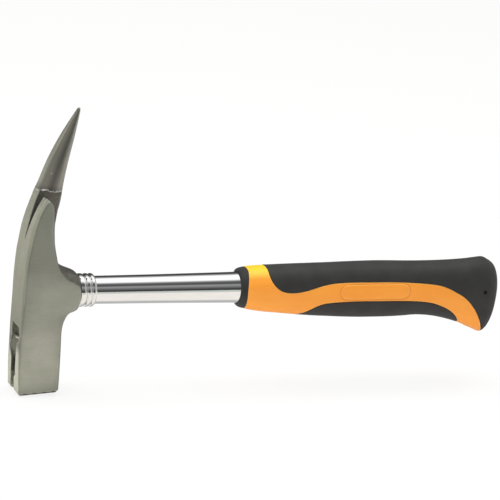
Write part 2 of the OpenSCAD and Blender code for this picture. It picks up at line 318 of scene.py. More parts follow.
# (y, z) seen along x: claw slot
slot_front = OutlineField([
    [-0.95, 34.9], [-0.7, 41], [-0.6, 44.8], [0.0, 48.4], [0.7, 52], [1.1, 54.5], [1.4, 57],
    [1.7, 60], [1.8, 62.4], [1.9, SHOULDER_Z], [-30, SHOULDER_Z], [-30, 63.6], [-6.3, 63.6],
    [-6.15, 61.9], [-6.0, 59.3], [-5.5, 56.4], [-5.15, 53.7], [-4.5, 49.7], [-3.7, 45.6],
    [-2.9, 41.6], [-2.0, 38], [-1.3, 34.9], [-1.15, 34.4]], (-18, 24), (18, 74), 0.15)
# (x, z) from the side: what is cut off the near prong's sloping tip
tip_side = OutlineField([
    [-30, SHOULDER_Z], [-30, 64.4], [-4, 64.2], [-3.2, 63.9], [-1.9, 63.4], [0.5, 62.3],
    [2.0, 61.2], [3.2, 59.9], [4.2, 58.3], [4.9, 56.8], [8, 52.0], [20, 40.5], [40, 30],
    [40, SHOULDER_Z]], **SIDE_VIEW)
# (y, z): nail holder on the outer face, a pocket over a groove with a wide lead-in
HOLDER_VIEW = dict(low=(-18, -78), high=(18, -10), step=0.15)
pocket_front = OutlineField([
    [6.9, -21.4], [-6.0, -21.4], [-7.9, -21.9], [-9.2, -23.2], [-9.8, -25.0], [-9.9, -26.3],
    [-9.7, -27.0], [4.5, -30.0], [6.4, -30.4], [6.3, -28.5], [6.9, -24.5]], **HOLDER_VIEW)
groove_front = OutlineField([
    [7.2, -30.5], [4.5, -29.9], [-8.7, -27.1], [-9.1, -28.4], [-9.2, -29.7], [-8.8, -30.5],
    [-6.6, -31.3], [-4.9, -32.8], [-4.0, -34.6], [-4.1, -37.2], [-4.1, -40.4], [-4.0, -43.6],
    [-3.7, -53.9], [-1.2, -55.3], [-0.9, -80], [6.1, -80], [6.1, -55.3], [5.75, -53.9],
    [5.6, -44.2], [7.0, -42.2], [9.0, -40.2], [9.6, -37.5], [8.6, -34.0]], **HOLDER_VIEW)

# spike: z, outer x, inner x, near y, far y, width of the flat outer strip
spike_stations = spline([
    [58, -4.6, 13.9, -0.7, 12.7, 6.2], [64.3, -1.9, 14.2, -0.9, 12.7, 6.2],
    [68, -0.3, 14.6, -0.9, 12.6, 5.9], [75.1, 2.0, 15.6, -0.8, 12.2, 5.0],
    [82.8, 4.7, 16.9, -0.4, 11.7, 4.2], [90.5, 7.8, 18.4, 0.3, 11.0, 3.4],
    [98.2, 11.3, 19.9, 1.3, 10.1, 2.7], [105.9, 15.1, 21.2, 2.7, 9.0, 1.9],
    [113.6, 19.1, 22.4, 4.4, 7.7, 1.1], [118, 21.2, 22.9, 5.2, 6.9, 0.7],
    [126, 25, 25.4, 6.4, 5.6, 0.3]])


def spike_section(z):
    """Outer x, inner x, near y, far y and strip width at height z."""
    return [np.interp(z, spike_stations[:, 0], spike_stations[:, i]) for i in range(1, 6)]


def corner_break(z):
    """Size of the broken edge between the outer face and the cheeks."""
    return np.interp(z, [-62, -50, -25, -16, -10, -4, 12, 20, 28, 33, 40, 61],
                     [0.2, 0.3, 0.5, 0.95, 1.25, 1.6, 1.5, 1.6, 2.0, 2.15, 2.2, 2.4])


# ---------------------------------------------------------------- head solid
def forging(x, y, z, cheek, outer, radius):
    """Block, socket boss and claw between the cheeks, before anything is cut."""
    slant = np.where(y > 0.6, np.interp(z, [42, 50.8, 55.8, 59, 65],
                                        [0.34, 0.425, 0.495, 0.53, 0.56]), 0.33)
    inner = both(inner_side(x, z), prong_side(x - slant * (y + HALF_WIDTH), z) * 0.93, 0.8)
    boss = both(boss_round(x, radius), boss_side(x, np.abs(z)), 2.2)
    body = either(inner, boss, 0.7)
    body = both(body, cheek, np.interp(z, [-40, -24, -15, 0, 20, 45, 70],
                                       [2.7, 2.7, 1.0, 0.4, 0.45, 0.9, 0.9]))
    body = both(body, outer, np.interp(z, [-60, -40, 60], [0.5, 0.45, 0.4]))
    size = corner_break(z)
    size = np.where(y > 0, size * np.interp(z, [0, 40], [0.85, 0.3]), size)
    return both(body, (outer * 0.86 + cheek + 0.86 * size) / 1.32, 0.35)


def spike_solid(x, y, z):
    """Flat on its outer strip and far side, rounded on the near side, blunt at the top."""
    outer_x, inner_x, near_y, far_y, strip = spike_section(z)
    strip_y = far_y - strip
    half_x = np.maximum((inner_x - outer_x) / 2, 0.1)
    depth_y = np.maximum(strip_y - near_y, 0.1)
    middle = (outer_x + inner_x) / 2
    u = np.abs(x - middle) / half_x
    v = np.maximum(strip_y - y, 0) / depth_y
    power = np.where(x < middle, 1.62, 2.15)
    solid = (((u ** power + v ** power + 1e-9) ** (1 / power) - 1)
             * np.minimum(half_x, depth_y * 0.9) * 0.93)
    solid = both(solid, (y - far_y) * 0.99, np.minimum(0.8, half_x * 0.4))
    solid = both(solid, outer_side(x, z), np.minimum(0.25, half_x * 0.3))
    return both(solid, z - TIP_Z, 1.15)


def shoulder_burr(x, y, z, spike):
    """Ragged burr along the machined shoulder round the foot of the spike."""
    wave = (1.05 * np.exp(-((x - 2.3) / 1.5) ** 2) + 0.13 * np.sin(x * 2.3 + 0.4)
            + 0.07 * np.sin(x * 5.3 + 1.9))
    burr = (np.hypot(spike - 0.08, z - SHOULDER_Z - 0.15 - wave) - 0.36
            - 0.08 * np.sin(x * 3.1 + 0.4))
    burr = np.maximum(burr, np.maximum(y - 8.6, x - 13.0))
    return np.maximum(burr, -0.9 - spike)


def nail_holder(x, y, z):
    """Pocket, groove, the rib between them and the outer face's x, for the nail holder."""
    face_x = np.interp(z, [-62, -44, -34, -24], [-10.3, -11.2, -11.6, -11.8])
    pocket = np.maximum(pocket_front(y, z), x - face_x - 3.5)
    depth = np.interp(z, [-60, -44, -38, -31], [2.5, 2.6, 2.3, 2.1])
    groove = np.maximum(groove_front(y, z), x - face_x - depth)
    # the lead-in's far flank slopes instead of dropping
    flank = x - face_x - np.clip((10.2 - y) * 0.45, 0, 4)
    groove = np.where((z > -44) & (z < -26), np.maximum(groove, flank), groove)
    rib = np.maximum(np.abs(y + 3.2) - 4.2,
                     np.abs(z + 30.95 - 0.212 * (4.5 - y)) * 0.978 - 0.45)
    return pocket, groove, np.maximum(rib, face_x + 0.7 - x), face_x


def magnet_hole(x, y, z):
    clearance = 0.05

    def slot(value, axis):
        low, high = MAGNET_LOW[axis], MAGNET_HIGH[axis]
        return np.abs(value - (low + high) / 2) - (high - low) / 2 - clearance

    return np.maximum(np.maximum(slot(y, 1), slot(z, 2)), x - MAGNET_HIGH[0] - clearance)


def head_parts(x, y, z):
    """The head's distance field, under "solid", and the fields of its surfaces."""
    cheek = np.abs(y) - HALF_WIDTH
    # the near prong leans back a little towards its tip
    lean = 2.0 * np.clip((z - 50) / 11.5, 0, 1.15) ** 2.0 * unit((-2.5 - y) / 10.2)
    outer = outer_side(x - lean, z)
    radius = np.hypot(y, z)
    striking = (x - FACE_X) * math.sin(FACE_CANT) - (z - FACE_Z) * math.cos(FACE_CANT)
    body = bevel(forging(x, y, z, cheek, outer, radius), striking, 1.5)
    body = np.maximum(body, z - SHOULDER_Z - 0.4)
    spike = spike_solid(x, y, z)
    solid = either(body, np.maximum(spike, 60.5 - z), 0.35)
    slot = slot_front(y, z)
    solid = both(solid, -slot, 0.3)
    solid = both(solid, -np.maximum(tip_side(x, z), y - 1.9), 0.3)
    burr = shoulder_burr(x, y, z, spike)
    solid = either(solid, burr, 0.15)
    pocket, groove, rib, face_x = nail_holder(x, y, z)
    solid = both(solid, -pocket, 0.25)
    solid = both(solid, -groove, 0.25)
    solid = np.minimum(solid, np.maximum(rib, x - face_x - 5))
    solid = np.maximum(solid, -magnet_hole(x, y, z))
    # tapered socket for the spread end of the shaft
    bore = np.maximum(radius - np.interp(x, [-2.2, 9.8], [9.44, 8.54]), -4.8 - x)
    solid = np.maximum(solid, -bore)
    return dict(solid=solid, cheek=cheek, outer=outer, striking=striking, slot=slot,
                pocket=pocket, groove=groove, burr=burr, rib=rib)


def head_field(x, y, z):
    return head_parts(x, y, z)["solid"]


# ---------------------------------------------------------------- head surface marks
def across_spike(x, y, z):
    """Place across the spike's near side, 0 to 1 from the outer edge, and the strip's edge."""
    outer_x, inner_x, near_y, far_y, strip = spike_section(z)
    half_x = (inner_x - outer_x) / 2
    depth_y = np.maximum(far_y - strip - near_y, 0.1)
    left = outer_x * 0.937 - far_y * 0.349
    right = ((outer_x + inner_x) / 2 * 0.937 - (far_y - strip) * 0.349
             + ((half_x * 0.937) ** 1.87 + (depth_y * 0.349) ** 1.87) ** (1 / 1.87))
    place = (x * 0.937 - y * 0.349 - left) / (right - left)
    return place, np.interp(z, [66, 80, 95, 110], [0.16, 0.19, 0.26, 0.28])


def ground_mask(z, normal, parts, place, strip_edge):
    """Where the steel is ground bright rather than left as forged."""
    ground = close_to(parts["cheek"], 0.12, 0.25) * (np.abs(normal[:, 1]) > 0.6)
    ground = np.maximum(ground, close_to(parts["outer"], 0.15, 0.3) * (normal[:, 0] < -0.35))
    ground = np.maximum(ground, close_to(parts["striking"], 0.1, 0.3) * (normal[:, 2] < -0.5))
    block = (z < -14) & (parts["pocket"] > 0.4) & (parts["groove"] > 0.4)
    ground = np.where(block, np.maximum(ground, 0.92), ground)
    ground = np.where((z > SHOULDER_Z) & (normal[:, 0] > -0.55), 0.0, ground)
    ground = np.where((parts["slot"] < 0.25) & (z > 33), 0.0, ground)
    # the flat strip of the spike carries on the outer face
    strip = unit((-normal[:, 0] - 0.42) / 0.22) * unit((strip_edge + 0.03 - place) / 0.06)
    ground = np.where(z > SHOULDER_Z + 0.3, 0.9 * strip, ground)
    # corner between the outer face and the cheeks
    corner = np.maximum(-parts["outer"], -parts["cheek"])
    at_corner = (corner < 2.3) & (z < SHOULDER_Z - 0.5) & (parts["slot"] > 0.25)
    return np.where(at_corner, np.maximum(ground, 0.95), ground)


def painted_light_gain(x, y, z, facing_out, outer):
    """Painted light and shade on the steel: brightness along the cheeks and along the outer face.
    """
    inner = inner_side(x, z)
    cheeks = np.interp(z, [-65, -61, -55, -30, -22, -11, 2, 17, 42, 65],
                       [0.72, 0.76, 0.83, 0.84, 0.80, 0.775, 0.73, 0.60, 0.61, 0.61])
    # painted shade: darker near the inner edge, on the block and above the shaft
    amount = np.interp(z, [-65, -58, -48, -30, -14], [0.50, 0.42, 0.26, 0.30, 0.34])
    reach = np.interp(z, [-65, -58, -45, -30, -14], [6.0, 5.0, 2.6, 4.0, 5.5])
    cheeks = cheeks * (1 - amount * np.exp(np.minimum(inner + 0.5, 0) / reach)
                       * unit((-9 - z) / 6))
    cheeks = cheeks * (1 - 0.12 * np.exp(np.minimum(inner, 0) / 2.0)
                       * unit((z + 2) / 6) * unit((40 - z) / 10))
    face = np.interp(
        z, [-65, -39, -33, -20, -5, 10, 22, 37, 45, 52, 58, 66, 75, 90, 110],
        [1.24, 1.20, 0.52, 0.485, 0.575, 0.655, 0.72, 0.77, 0.86, 0.92, 0.98, 0.98, 1.05, 1.15,
         1.2])
    # painted highlight on the near prong's outward faces
    prong = unit((z - 43) / 10) * (y < -3) * np.interp(facing_out, [0.75, 0.92], [0.12, 0.36])
    return (cheeks * (1 - outer) + face * outer) * (1 + prong * outer)


def painted_edge_shade(z, facing_out, parts):
    """Painted shade: dark band along the edge between the outer face and the cheeks."""
    size = corner_break(z)
    inward = np.maximum(-parts["outer"] - size, 0)
    reach = np.interp(z, [-60, -45, -30, -18, -5, 5, 15, 30],
                      [0.8, 1.2, 2.5, 6.0, 8.0, 5.5, 4.0, 3.0])
    wide = np.interp(z, [-60, -45, -30, -18, -5, 5, 15, 40, 60],
                     [0.12, 0.14, 0.22, 0.26, 0.26, 0.16, 0.09, 0.06, 0.0])
    line = (np.interp(z, [-62, 30, 52, 60], [0.20, 0.17, 0.08, 0.0])
            * np.exp(-((-parts["outer"] - size - 0.1) / 0.5) ** 2))
    face_reach = np.interp(z, [-60, -53, -45, -41, -37, -33, -30, -26],
                           [0.9, 1.2, 1.8, 2.3, 3.7, 7, 1.5, 0.6])
    on_face = 0.58 * np.exp(-(parts["cheek"] / face_reach) ** 2) * unit((-24 - z) / 4)
    on_cheek = wide * np.exp(-inward / reach * 1.2) + line
    return np.where(facing_out < 0.5, on_cheek, on_face) * (z < SHOULDER_Z)


def painted_spike_shading(z, place, strip_edge):
    """Painted reflection bands and shade across the spike's near side, with painted shadow darker
    at its root.
    """
    place = place - (strip_edge - 0.17) * unit((0.5 - place) / 0.3)
    spike_shade = np.interp(
        place, [0, 0.14, 0.2, 0.25, 0.36, 0.47, 0.57, 0.66, 0.73, 0.80, 0.90, 0.95, 1.0],
        [0.46, 0.42, 0.33, 0.250, 0.265, 0.225, 0.190, 0.195, 0.215, 0.265, 0.38, 0.42, 0.25])
    return spike_shade * (0.68 + 0.32 * unit((z - SHOULDER_Z - 0.6) / 3.5))


def painted_highlights(x, y, z, normal, parts):
    """Painted highlights on the burr, the rib, the near prong's tip corner and the striking
    face's near rim.
    """
    shine = np.maximum(close_to(parts["burr"], 0, 0.16) * (z < SHOULDER_Z + 1.4),
                       close_to(parts["rib"], 0, 0.12) * (x < -6))
    corner = np.exp(-((x - 0.9) ** 2 + (y + 12.5) ** 2 + (z - 61.2) ** 2) / 0.7)
    lip = 0.45 * np.exp(-((parts["striking"] + 1.55) / 0.22) ** 2) * (normal[:, 1] < -0.8)
    return unit(shine + corner + lip)


def build_head():
    points, quads = mesh_field(head_field, low=(-13.4, -14.2, -67.6), high=(28.6, 14.2, 119),
                               step=0.47)
    obj = new_mesh("head_forging", points, quads)
    _, slope = gradient(head_field, points)
    normal = slope / np.maximum(np.linalg.norm(slope, axis=1, keepdims=True), 1e-6)
    x, y, z = points.T
    parts = head_parts(x, y, z)
    place, strip_edge = across_spike(x, y, z)
    ground = ground_mask(z, normal, parts, place, strip_edge)
    facing_out = -normal[:, 0]
    outer = (unit((facing_out - np.interp(z, [-26, -18, 70], [0.55, 0.38, 0.36])) / 0.2)
             * (parts["outer"] > -1.8))
    holder = np.minimum(parts["pocket"], parts["groove"])
    mark(obj, "outer", outer)
    # painted light and shade by height on the steel
    mark(obj, "light_gain", painted_light_gain(x, y, z, facing_out, outer))
    # painted shade along the edge between the outer face and the cheeks
    mark(obj, "edge_shade", painted_edge_shade(z, facing_out, parts))
    # painted shade on the chamfer under the striking face
    mark(obj, "under", ((normal[:, 2] < -0.35) & (z < -60)).astype(float))
    # painted reflection bands and shade on the spike
    mark(obj, "spike_shade", painted_spike_shading(z, place, strip_edge))
    mark(obj, "ground", ground)
    mark(obj, "spike", unit((z - SHOULDER_Z - 0.2) / 0.8) * (1 - ground))
    mark(obj, "deep", unit(0.5 - holder / 0.5) * (parts["outer"] < -0.35) * (z < -15))
    # painted highlights on the burr, rib, prong tip corner and face rim
    mark(obj, "highlight", painted_highlights(x, y, z, normal, parts))
    obj.data.normals_split_custom_set_from_vertices([tuple(n) for n in normal])
    return obj


# ---------------------------------------------------------------- shaft tube
BEAD_EDGES = [26.25, 30.45, 33.8, 36.85]   # x where the rolled beads meet
BEAD_FOOT, BEAD_RISE = 9.78, 0.97          # radius between beads, height of a bead


def build_tube():
    """Spread end in the socket, three rolled beads, a slow taper, straight in the grip."""
    # x, radius
    profile = [(-3.8, 7.92), (-3.8, 9.25), (-3.5, 9.4), (-2.2, 9.4), (9.8, 8.5), (26.22, 8.5),
               (26.24, 9.4), (BEAD_EDGES[0], BEAD_FOOT)]
    for start, end in zip(BEAD_EDGES[:-1], BEAD_EDGES[1:]):
        for k in range(1, 17):
            t = k / 16
            profile.append((start + (end - start) * t,
                            BEAD_FOOT + BEAD_RISE * math.sin(math.pi * t) ** 0.5))
    profile += [(36.95, 9.35), (37.1, 9.12)]
    profile += list(spline([[37.35, 9.0], [40, 8.97], [81, 9.28], [GRIP_START - 8, 9.84],
                            [GRIP_START - 1, 10.02], [GRIP_START + 6, 10.1]], 12))
    profile += [(180, 10.1), (240, 10.1), (TUBE_END - 0.4, 10.1), (TUBE_END, 9.8)]
    # back along the bore
    profile += [(TUBE_END, 8.9), (TUBE_END - 0.3, 8.6), (240, 8.6), (129, 8.6), (41, 7.5),
                (26.8, 7.0), (9.8, 7.0), (-2.2, 7.9)]
    profile = np.array(profile)
    sides = 160
    angle = 2 * np.pi * np.arange(sides) / sides
    points = np.stack([np.repeat(profile[:, 0], sides),
                       np.outer(profile[:, 1], np.cos(angle)).ravel(),
                       np.outer(profile[:, 1], np.sin(angle)).ravel()], 1)
    i = np.arange(len(profile))[:, None]
    j = np.arange(sides)[None]
    ring, next_ring, turn = i * sides, (i + 1) % len(profile) * sides, (j + 1) % sides
    quads = np.stack([ring + j, ring + turn, next_ring + turn, next_ring + j], 2)
    return new_mesh("shaft_tube", points, quads.reshape(-1, 4)[:, ::-1])


# ---------------------------------------------------------------- grip shape
# x, top z, bottom z, half thickness, roundness (exponent of the section)
SECTIONS = np.array([
    # front lip
    [133.0, 10.14, -10.14, 10.14, 2.0], [132.95, 10.4, -10.4, 10.4, 2.0],
    [133.0, 10.9, -10.9, 10.9, 2.0], [133.25, 11.5, -11.55, 11.5, 2.0],
    [133.9, 12.1, -12.25, 12.05, 2.05], [135.0, 12.5, -12.8, 12.45, 2.1],
    [136.8, 12.8, -13.2, 12.8, 2.2], [139, 13.05, -13.75, 13.1, 2.3],
    # body
    [145, 13.5, -14.85, 13.6, 2.4], [152, 13.75, -15.8, 13.8, 2.4], [160, 14.0, -16.6, 13.8, 2.4],
    [168, 14.25, -17.5, 13.8, 2.4], [176, 14.4, -18.2, 13.8, 2.4], [185, 14.6, -18.95, 13.9, 2.4],
    [194, 14.75, -19.5, 14.0, 2.4], [205, 15.1, -20.15, 14.15, 2.4],
    [216, 15.35, -20.6, 14.2, 2.4], [227, 15.5, -20.7, 14.25, 2.4],
    [238, 15.35, -20.65, 14.2, 2.4], [247, 15.1, -20.3, 14.1, 2.4],
    [256, 14.95, -19.8, 14.0, 2.4], [262, 14.95, -20.1, 14.05, 2.4],
    [268, 15.0, -20.8, 14.2, 2.4], [275, 15.15, -22.2, 14.4, 2.4], [282, 15.4, -24.1, 14.7, 2.4],
    [287, 15.7, -25.75, 14.95, 2.4], [292, 16.1, -27.95, 15.2, 2.4],
    [297, 16.65, -30.15, 15.45, 2.4],
    # butt
    [300.4, 17.1, -31.65, 15.5, 2.35], [302.0, 17.3, -32.3, 15.4, 2.3],
    [303.3, 17.0, -31.95, 15.0, 2.3], [304.9, 16.15, -30.9, 14.3, 2.25],
    [306.7, 15.1, -28.5, 13.3, 2.2], [308.3, 13.9, -24.9, 12.0, 2.15],
    [309.5, 12.4, -20.4, 10.4, 2.1], [310.6, 10.1, -15.4, 8.4, 2.05],
    [311.3, 7.2, -10.6, 6.2, 2.0], [311.7, 4.2, -6.4, 3.8, 2.0], [311.9, 1.0, -2.8, 1.4, 2.0]])
LAST = len(SECTIONS) - 1
WALL = 2.2                           # thickness of the rubber pads
PANEL = (199.5, 247.4, -0.7, 4.95)   # raised blank oblong: x from, x to, middle z, half height
DIMPLE = (299.6, -2.0)               # x, z of a small round pit on the near side

# (x, z) from the side: parting lines of the top and the lower pad
top_line = spline([
    [151.3, 30], [151.3, 18], [151.3, 13.4], [151.4, 10.4], [152.6, 7.2], [155.5, 3.4],
    [159.9, 0.5], [165.2, -0.6], [171, -0.45], [177, 0.7], [182.7, 2.4], [188.6, 4.0],
    [194.5, 5.0], [202, 5.5], [212, 5.6], [226, 5.5], [240, 5.25], [256, 4.2], [263, 3.4],
    [268.6, 2.5], [274, 0.7], [279.6, -2.1], [285.3, -5.3], [290, -9.5], [294.4, -15.1],
    [298.4, -21.9], [301.4, -28.4], [303.2, -34.5], [304.2, -44]], 5)
lower_line = spline([
    [163.5, -26], [168.2, -20.6], [171.8, -18.0], [176.2, -15.5], [180.3, -12.8], [184.1, -10.3],
    [188.9, -8.5], [194.7, -7.7], [202, -7.2], [213, -6.9], [227, -7.0], [241, -7.2],
    [252, -7.7], [259, -8.4], [264.5, -9.4], [270, -11.3], [276, -14.2], [280.5, -17.7],
    [284.2, -22], [286.6, -27], [288, -36]], 5)


def section_at(row):
    """Section at a fractional row number, smooth through unevenly spaced rows."""
    row = np.clip(np.asarray(row, float), 0, LAST)
    i = np.minimum(row.astype(int), LAST - 1)
    t = (row - i)[:, None]
    before, start = SECTIONS[np.maximum(i - 1, 0)], SECTIONS[i]
    end, after = SECTIONS[i + 1], SECTIONS[np.minimum(i + 2, LAST)]

    def span(a, b):
        return np.maximum(np.linalg.norm((b - a)[:, :4], axis=1), 1e-6)[:, None]

    def slope(a, b, c, first, second, scale):
        blend = ((b - a) / first * second + (c - b) / second * first) / (first + second) * scale
        return blend

    step = end - start
    span_in, span_mid, span_out = span(before, start), span(start, end), span(end, after)
    slope_in = np.where(span_in > 1e-5,
                        slope(before, start, end, span_in, span_mid, span_mid), step)
    slope_out = np.where(span_out > 1e-5,
                         slope(start, end, after, span_mid, span_out, span_mid), step)
    t2, t3 = t * t, t * t * t
    return ((2 * t3 - 3 * t2 + 1) * start + (t3 - 2 * t2 + t) * slope_in
            + (-2 * t3 + 3 * t2) * end + (t3 - t2) * slope_out)


def grip_point(row, angle, inset=0.0):
    """Point on the grip's skin, or `inset` below it."""
    x, top, bottom, half_y, power = section_at(row).T
    half_z = (top - bottom) / 2
    shrink = inset * np.clip(np.minimum(half_z, half_y) / 7.0, 0.05, 1)
    half_z, half_y = half_z - shrink, half_y - shrink
    x = x - inset * unit((x - 301) / 10.9) ** 1.3
    cos, sin = np.cos(angle), np.sin(angle)
    reach = (np.abs(cos / half_y) ** power + np.abs(sin / half_z) ** power) ** (-1 / power)
    return np.stack([x, reach * cos, (top + bottom) / 2 + reach * sin], 1)


def grip_normal(row, angle):
    step = 1e-3
    along = grip_point(row + step, angle) - grip_point(row - step, angle)
    around = grip_point(row, angle + step) - grip_point(row, angle - step)
    normal = np.cross(around, along)
    normal /= np.maximum(np.linalg.norm(normal, axis=1, keepdims=True), 1e-12)
    point, section = grip_point(row, angle), section_at(row)
    outward = np.stack([np.where(section[:, 0] > 308, 4.0, np.where(row < 2.2, -4.0, 0.0)),
                        point[:, 1], point[:, 2] - (section[:, 1] + section[:, 2]) / 2], 1)
    return normal * np.sign((normal * outward).sum(1))[:, None]


def line_distance(line, x, z):
    """Signed distance to a line in the side view; positive on its left going along it."""
    nearest = np.full(x.shape, 1e9)
    sign = np.ones(x.shape)
    for a, b in zip(line[:-1], line[1:]):
        d = b - a
        t = np.clip(((x - a[0]) * d[0] + (z - a[1]) * d[1]) / (d @ d), 0, 1)
        gap_x, gap_z = x - a[0] - t * d[0], z - a[1] - t * d[1]
        gap2 = gap_x * gap_x + gap_z * gap_z
        closer = gap2 < nearest - 1e-9
        nearest = np.where(closer, gap2, nearest)
        sign = np.where(closer, np.sign(d[0] * gap_z - d[1] * gap_x), sign)
    return np.sqrt(nearest) * np.where(sign == 0, 1, sign)


def grip_regions(points):
    """Side-view fields of the grip's regions, each positive inside its region."""
    x, y, z = points.T
    start, end, middle, half = PANEL
    panel_x = np.clip(x, start + half, end - half)
    return dict(
        top=line_distance(top_line, x, z),
        low=-line_distance(lower_line, x, z),
        collar=COLLAR_END + np.where(z > 0, 0.0107, 0.003) * z * z - x,
        panel=half - np.hypot(x - panel_x, z - middle),
        dimple=np.where(y < 0, 1.35 - np.hypot(x - DIMPLE[0], z - DIMPLE[1]), -20))


class Skin:
    """The grip's outer surface as polygons over (row, angle), cut along the region fields."""

    def __init__(self):
        step = 0.85
        rows = [0.0]
        while rows[-1] < LAST:
            here = section_at([rows[-1]])[0]
            ahead = section_at([min(rows[-1] + 0.02, LAST)])[0]
            speed = max(np.linalg.norm((ahead - here)[:4]) / 0.02, 0.4)
            # finer rings at the lip and the butt
            scale = 0.28 if here[0] < 135.5 and rows[-1] < 6 else (0.5 if here[0] > 299 else 1.0)
            rows.append(rows[-1] + step * scale / speed)
        rows[-1] = LAST
        n = 132
        ring = 2 * np.pi * (np.arange(n) + 0.5) / n
        self.faces = [(i * n + j, (i + 1) * n + j, (i + 1) * n + (j + 1) % n, i * n + (j + 1) % n)
                      for i in range(len(rows) - 1) for j in range(n)]
        # close the butt with a fan
        last = (len(rows) - 1) * n
        self.pole = len(rows) * n
        self.faces += [(last + j, self.pole, last + (j + 1) % n) for j in range(n)]
        self.row = np.append(np.repeat(np.array(rows), n), LAST)
        self.angle = np.append(np.tile(ring, len(rows)), 0.0)
        self.update()

    def inset_points(self, inset=0.0):
        points = grip_point(self.row, self.angle, inset)
        x, top, bottom = section_at([LAST])[0][:3]
        points[self.pole] = [x + 0.03 - inset, 0, (top + bottom) / 2]
        return points

    def update(self):
        self.points = self.inset_points()
        self.regions = grip_regions(self.points)

    def cut(self, region, level):
        """Split the faces where a region's field crosses the level."""
        value = self.regions[region] - level
        value = list(np.where(np.abs(value) < 0.02, 0, value))
        row, angle, added = list(self.row), list(self.angle), {}
        faces = []
        for face in self.faces:
            corners = [value[i] for i in face]
            if min(corners) >= 0 or max(corners) <= 0 or self.pole in face:
                faces.append(face)
                continue
            ring = []
            for a, b in edges_of(face):
                ring.append(a)
                if value[a] * value[b] < 0:
                    edge = (a, b) if a < b else (b, a)
                    if edge not in added:
                        start, end = edge
                        t = value[start] / (value[start] - value[end])
                        angle_a, angle_b = angle[start], angle[end]
                        if angle_b - angle_a > math.pi:
                            angle_b -= 2 * math.pi
                        if angle_a - angle_b > math.pi:
                            angle_b += 2 * math.pi
                        added[edge] = len(row)
                        row.append(row[start] + t * (row[end] - row[start]))
                        angle.append((angle_a + t * (angle_b - angle_a)) % (2 * math.pi))
                        value.append(0.0)
                    ring.append(added[edge])
            on = [k for k, i in enumerate(ring) if value[i] == 0]
            if len(on) != 2 or (on[1] - on[0]) % len(ring) in (1, len(ring) - 1):
                faces.append(tuple(ring))
                continue
            faces.append(tuple(ring[on[0]:on[1] + 1]))
            faces.append(tuple(ring[on[1]:] + ring[:on[0] + 1]))
        self.row, self.angle, self.faces = np.array(row), np.array(angle), faces
        self.update()


# ---------------------------------------------------------------- grip pieces
# region, levels of its cuts, levels in a quick build
SEAM_CUTS = (-0.9, -0.5, -0.28, -0.12, -0.03, 0, 0.03, 0.12, 0.3, 0.6, 1.0)
CUTS = (("top", SEAM_CUTS, (-0.4, 0, 0.4)),
        ("low", SEAM_CUTS, (-0.4, 0, 0.4)),
        ("collar", (-0.5, -0.25, -0.08, 0, 0.08, 0.25, 0.5), (0,)),
        ("panel", (-1.1, -0.75, -0.5, -0.3, -0.1, 0.1, 0.35, 0.7), (-0.4, 0)),
        ("dimple", (-0.3, 0.0, 0.25, 0.6, 1.0), ()))


def edges_of(face):
    return zip(face, face[1:] + face[:1])


def rim_of(edges):
    """The edges that no neighbouring face runs along the other way."""
    return [(a, b) for a, b in edges if (b, a) not in edges]


def roll(distance, radius):
    """Fall below full height at a distance inside a rounded edge."""
    distance = np.clip(distance, 0, radius)
    return radius - np.sqrt(np.maximum(radius * radius - (radius - distance) ** 2, 0))


def compact(faces):
    """The points the faces use, and the faces renumbered over them."""
    used = sorted({i for face in faces for i in face})
    place = {old: new for new, old in enumerate(used)}
    return used, [tuple(place[i] for i in face) for face in faces]


def bore_point(point, x, radius):
    """Point at x on a bore about the shaft, at the same angle as the given point."""
    angle = math.atan2(point[2], point[1])
    return (x, radius * math.cos(angle), radius * math.sin(angle))


def build_pad(name, faces, outer, inner):
    """Closed pad: outer skin, inner skin and the wall between them along its edge."""
    used, faces = compact(faces)
    count = len(used)
    # a dict keeps the edges in face order
    rim = rim_of(dict.fromkeys(edge for face in faces for edge in edges_of(face)))
    backs = [tuple(i + count for i in reversed(face)) for face in faces]
    walls = [(b, a, a + count, b + count) for a, b in rim]
    return new_mesh(name, np.vstack([outer[used], inner[used]]), faces + backs + walls), used


def build_collar(faces, surface):
    """Front collar: outer skin, back wall and bore."""
    radius = 10.14
    used, faces = compact(faces)
    points = [tuple(p) for p in surface[used]]
    rim = rim_of({edge for face in faces for edge in edges_of(face)})
    back, front = {}, {}
    for edge in rim:
        for i in edge:
            if points[i][0] <= COLLAR_END - 1.5:
                front[i] = True
            elif i not in back:
                back[i] = len(points)
                points.append(bore_point(points[i], COLLAR_END - 0.02, radius))
    walls = [(b, a, back[a], back[b]) for a, b in rim if a in back and b in back]

    def by_angle(i):
        return math.atan2(points[i][2], points[i][1])

    front_ring = sorted(front, key=by_angle)
    back_ring = sorted(back.values(), key=by_angle)
    # the bore is joined only when both of its rings have the same count
    if len(front_ring) == len(back_ring):
        for i in range(len(front_ring)):
            j = (i + 1) % len(front_ring)
            walls.append((front_ring[i], front_ring[j], back_ring[j], back_ring[i]))
    return new_mesh("grip_collar", points, faces + walls)


